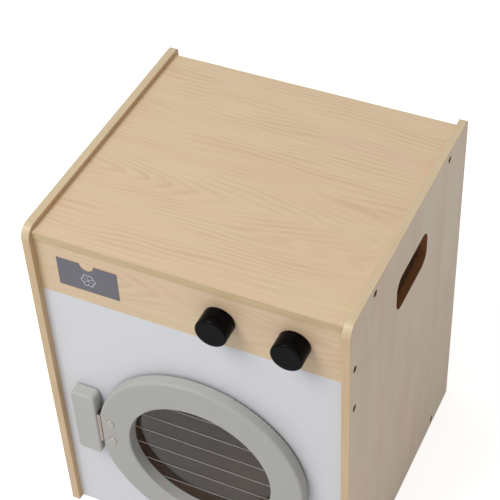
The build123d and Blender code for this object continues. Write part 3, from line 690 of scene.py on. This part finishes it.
def lines_group():
    """Level bars across a round opening, evenly spaced up it and cut to its width."""
    tree, sizes = start_group("window_bars", {
        "Count": "Int", "Pitch": "Float", "Opening Radius": "Float", "Height": "Float",
        "Thickness": "Float", "Centre": "Vector"})
    middle = add(tree, "ShaderNodeMath", {0: sizes["Count"], 1: -0.5, 2: 0.5}, operation="MULTIPLY_ADD")
    step = add(tree, "ShaderNodeMath", {0: add(tree, "GeometryNodeInputIndex"), 1: middle}, operation="ADD")
    level = add(tree, "ShaderNodeMath", {0: step, 1: sizes["Pitch"]}, operation="MULTIPLY")
    far = add(tree, "ShaderNodeMath", {0: add(tree, "ShaderNodeMath", {0: level}, operation="ABSOLUTE"),
                                       1: add(tree, "ShaderNodeMath", {0: sizes["Height"], 1: 0.5},
                                              operation="MULTIPLY")}, operation="ADD")
    far = add(tree, "ShaderNodeMath", {0: far, 1: 2.0}, operation="POWER")
    square = add(tree, "ShaderNodeMath", {0: sizes["Opening Radius"], 1: 2.0}, operation="POWER")
    square = add(tree, "ShaderNodeMath", {0: square, 1: far}, operation="SUBTRACT")
    half = add(tree, "ShaderNodeMath", {0: square}, operation="SQRT")
    length = add(tree, "ShaderNodeMath", {0: half, 1: 2.0}, operation="MULTIPLY")
    points = add(tree, "GeometryNodePoints", {"Count": sizes["Count"],
                                              "Position": add(tree, "ShaderNodeCombineXYZ", {2: level})})
    bar = add(tree, "GeometryNodeMeshCube", {"Size": (1, 1, 1)})
    size = add(tree, "ShaderNodeCombineXYZ", {0: length, 1: sizes["Thickness"], 2: sizes["Height"]})
    bars = add(tree, "GeometryNodeInstanceOnPoints", {"Points": points, "Instance": bar, "Scale": size})
    placed = add(tree, "GeometryNodeTransform", {"Geometry": bars, "Translation": sizes["Centre"]})
    finish_group(tree, placed, sizes["Material"])
    return tree


door_back, bore_radius, pane_front = -154.45, 85.7, -155.65
finish_node("window_pane", tinted_acrylic())
bar_thickness, bar_clearance = 0.2, 0.05
bars = grow("window_lines_printed", lines_group(), {
    "Count": 6, "Pitch": 25.3 * mm, "Opening Radius": (bore_radius - bar_clearance) * mm,
    "Height": 1.3 * mm, "Thickness": bar_thickness * mm,
    "Centre": (door_x * mm, (pane_front - bar_thickness / 2) * mm, door_z * mm),
    "Material": printed_ink("pale_window_ink", "#8F8986", "#857F7C")})
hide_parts("window_lines")
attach(bars, "door")
screw_circle, pane_screws = 89.2, 6
turns = [math.radians(360 / pane_screws * (i + 0.5)) for i in range(pane_screws)]
countersunk("pane_screws", "door", [(door_x + screw_circle * math.cos(a), door_back,
                                     door_z + screw_circle * math.sin(a)) for a in turns],
            to_front, head=2.3, shank=1.1, length=8.0)


# ------------------------------------------------------------------ catch and pads
# A magnet sits in the front panel behind the door's edge, with a steel strike plate opposite, and
# two thin pads of white felt keep the door off the panel.
finish_node("catch_magnet", domes)
finish_node("strike_plate", zinc)
strike_x = 112.0
countersunk("strike_screw", "door", [(strike_x, door_back, door_z)], to_front,
            small_head, small_shank, length=9.0)


def felt(name, base, tint):
    """Pressed wool felt: matted hairs a few tenths of a millimetre across, soft at the edge."""
    material, tree, coordinates = start_material(name)
    spread = add(tree, "ShaderNodeMapping", {"Vector": coordinates, "Scale": every(0.35, 0.9, 0.35)})
    hairs = add(tree, "ShaderNodeTexNoise", {"Vector": spread, "Scale": 1.0, "Detail": 4.0})
    colour = add(tree, "ShaderNodeMix", {0: hairs, 6: linear(base), 7: linear(tint)}, data_type="RGBA")
    relief = add(tree, "ShaderNodeBump", {"Height": hairs, "Strength": 0.8, "Distance": 0.3 * mm})
    finish_material(tree, {"Base Color": colour, "Roughness": 0.95, "Normal": relief,
                           "Sheen Weight": 0.4, "Sheen Roughness": 0.5})
    return material


finish_node("door_pads", felt("white_wool_felt", "#DEDDD8", "#BDBBB5"))


# ------------------------------------------------------------------ knobs
# Two turned wooden knobs in black lacquer. Each has a brass insert and turns on a screw through
# the control panel, on a felt washer.
def black_lacquer():
    """Black satin-gloss lacquer over turned wood: deep black, with a slight ripple in the gloss."""
    material, tree, coordinates = start_material("black_lacquered_wood")
    spread = add(tree, "ShaderNodeMapping", {"Vector": coordinates, "Scale": every(5, 5, 5)})
    ripple = add(tree, "ShaderNodeTexNoise", {"Vector": spread, "Scale": 1.0, "Detail": 2.0})
    colour = add(tree, "ShaderNodeMix", {0: ripple, 6: linear("#08080A"), 7: linear("#050506")},
                 data_type="RGBA")
    gloss = add(tree, "ShaderNodeMapRange", {"Value": ripple, "From Min": 0.3, "From Max": 0.7,
                                             "To Min": 0.09, "To Max": 0.13})
    relief = add(tree, "ShaderNodeBump", {"Height": ripple, "Strength": 0.06, "Distance": 0.1 * mm})
    finish_material(tree, {"Base Color": colour, "Roughness": gloss, "Normal": relief, "IOR": 1.5,
                           "Specular IOR Level": 0.055})
    return material


def brass():
    """Machined brass: warm yellow with fine turning marks 0.2 mm apart."""
    material, tree, coordinates = start_material("machined_brass")
    spread = add(tree, "ShaderNodeMapping", {"Vector": coordinates, "Scale": every(3, 0.2, 3)})
    marks = add(tree, "ShaderNodeTexNoise", {"Vector": spread, "Scale": 1.0, "Detail": 2.0})
    colour = add(tree, "ShaderNodeMix", {0: marks, 6: linear("#C9A45C"), 7: linear("#A98542")},
                 data_type="RGBA")
    gloss = add(tree, "ShaderNodeMapRange", {"Value": marks, "From Min": 0.3, "From Max": 0.7,
                                             "To Min": 0.25, "To Max": 0.4})
    finish_material(tree, {"Base Color": colour, "Metallic": 1.0, "Roughness": gloss})
    return material


lacquer = black_lacquer()
insert_brass = brass()
black_felt = felt("black_wool_felt", "#2A2A2C", "#17171A")
knob_back, knob_z, knob_radius, knob_length = -154.05, 394.75, 17.5, 21.0
pocket_radius, pocket_depth, face_dish, rim_width = 4.05, 12.05, 0.25, 4
front_corner, rim_round = 4, 2.0  # number of the outline's corner at the front rim, and its radius
knob_outline = [(0, pocket_depth), (pocket_radius, pocket_depth), (pocket_radius, 0), (knob_radius, 0),
                (knob_radius, knob_length), (knob_radius - rim_width, knob_length),
                (0, knob_length - face_dish)]
for name, x in (("left", 38.0), ("right", 119.0)):
    turn_piece(f"knob_{name}", f"knob_{name}_body", lacquer, knob_outline,
               [(x, knob_back, knob_z)], to_front, rounded=(front_corner, rim_round), steps=96)
    finish_node(f"knob_insert_{name}", insert_brass)
    finish_node(f"knob_felt_{name}", black_felt)
    finish_node(f"knob_screw_{name}", zinc)
    finish_node(f"knob_washer_{name}", zinc)


# ------------------------------------------------------------------ studio
# A white floor with the object's shadow, white all round, and one large soft lamp from the upper
# left front.
def plain_floor():
    """White paper: the camera and reflections see it white, and it still takes shadows."""
    material = bpy.data.materials.new("white_paper_floor")
    material.use_nodes = True
    tree = material.node_tree
    tree.nodes.clear()
    path = add(tree, "ShaderNodeLightPath")
    mirrored = add(tree, "ShaderNodeMath", {0: path.outputs["Is Glossy Ray"],
                                            1: path.outputs["Is Transmission Ray"]}, operation="MAXIMUM")
    mirrored = add(tree, "ShaderNodeMath", {0: mirrored, 1: glow_mirrored}, operation="MULTIPLY")
    glow = add(tree, "ShaderNodeMath", {0: path.outputs["Is Camera Ray"], 1: glow_seen, 2: mirrored},
               operation="MULTIPLY_ADD")
    matt = add(tree, "ShaderNodeBsdfDiffuse", {"Color": linear("#EDEDED")})
    light = add(tree, "ShaderNodeEmission", {"Strength": glow})
    both = add(tree, "ShaderNodeAddShader", {0: matt, 1: light})
    add(tree, "ShaderNodeOutputMaterial", {"Surface": both})
    return material


glow_seen, glow_mirrored, floor_reach = 0.62, 0.3, 6.0
floor_mesh = bpy.data.meshes.new("floor")
floor_mesh.from_pydata([(x * floor_reach, y * floor_reach, 0)
                        for x, y in ((-1, -1), (1, -1), (1, 1), (-1, 1))], [], [(0, 1, 2, 3)])
floor_mesh.materials.append(plain_floor())
floor = bpy.data.objects.new("floor", floor_mesh)
bpy.context.scene.collection.objects.link(floor)

world = bpy.data.worlds.new("studio_white")
world.use_nodes = True
tree = world.node_tree
tree.nodes.clear()
path = add(tree, "ShaderNodeLightPath")
seen = add(tree, "ShaderNodeMath", {0: path.outputs["Is Camera Ray"], 1: path.outputs["Is Glossy Ray"]},
           operation="MAXIMUM")
seen = add(tree, "ShaderNodeMath", {0: seen, 1: path.outputs["Is Transmission Ray"]}, operation="MAXIMUM")
ambient, white_seen = 0.5, 1.0
strength = add(tree, "ShaderNodeMapRange", {"Value": seen, "To Min": ambient, "To Max": white_seen})
sky = add(tree, "ShaderNodeBackground", {"Color": linear("#FFFFFF"), "Strength": strength})
add(tree, "ShaderNodeOutputWorld", {"Surface": sky})
bpy.context.scene.world = world


def soft_lamp(name, place, target, size, level):
    """Square area lamp that gives a facing white surface this level, where 1 renders as white."""
    lamp = bpy.data.lights.new(name, "AREA")
    lamp.shape = "SQUARE"
    lamp.size = size
    aim = Vector(target) - Vector(place)
    lamp.energy = level * math.pi ** 2 * aim.length_squared
    holder = bpy.data.objects.new(name, lamp)
    holder.location = place
    holder.rotation_euler = aim.to_track_quat("-Z", "Y").to_euler()
    bpy.context.scene.collection.objects.link(holder)


soft_lamp("key_lamp", (-1.0, -1.5, 2.6), (0, 0, 0.3), size=1.4, level=0.62)

# The camera stands where the object's straight edges say the photo was taken from.
camera = bpy.data.cameras.new("camera")
camera.sensor_width = 36.0
camera.lens = 105.385
holder = bpy.data.objects.new("camera", camera)
holder.location = (0.520659, -1.024747, 1.440841)
holder.rotation_euler = [math.radians(a) for a in (46.20233, 2.22730, 24.90923)]
bpy.context.scene.collection.objects.link(holder)
bpy.context.scene.camera = holder
bpy.context.scene.view_settings.view_transform = "Standard"
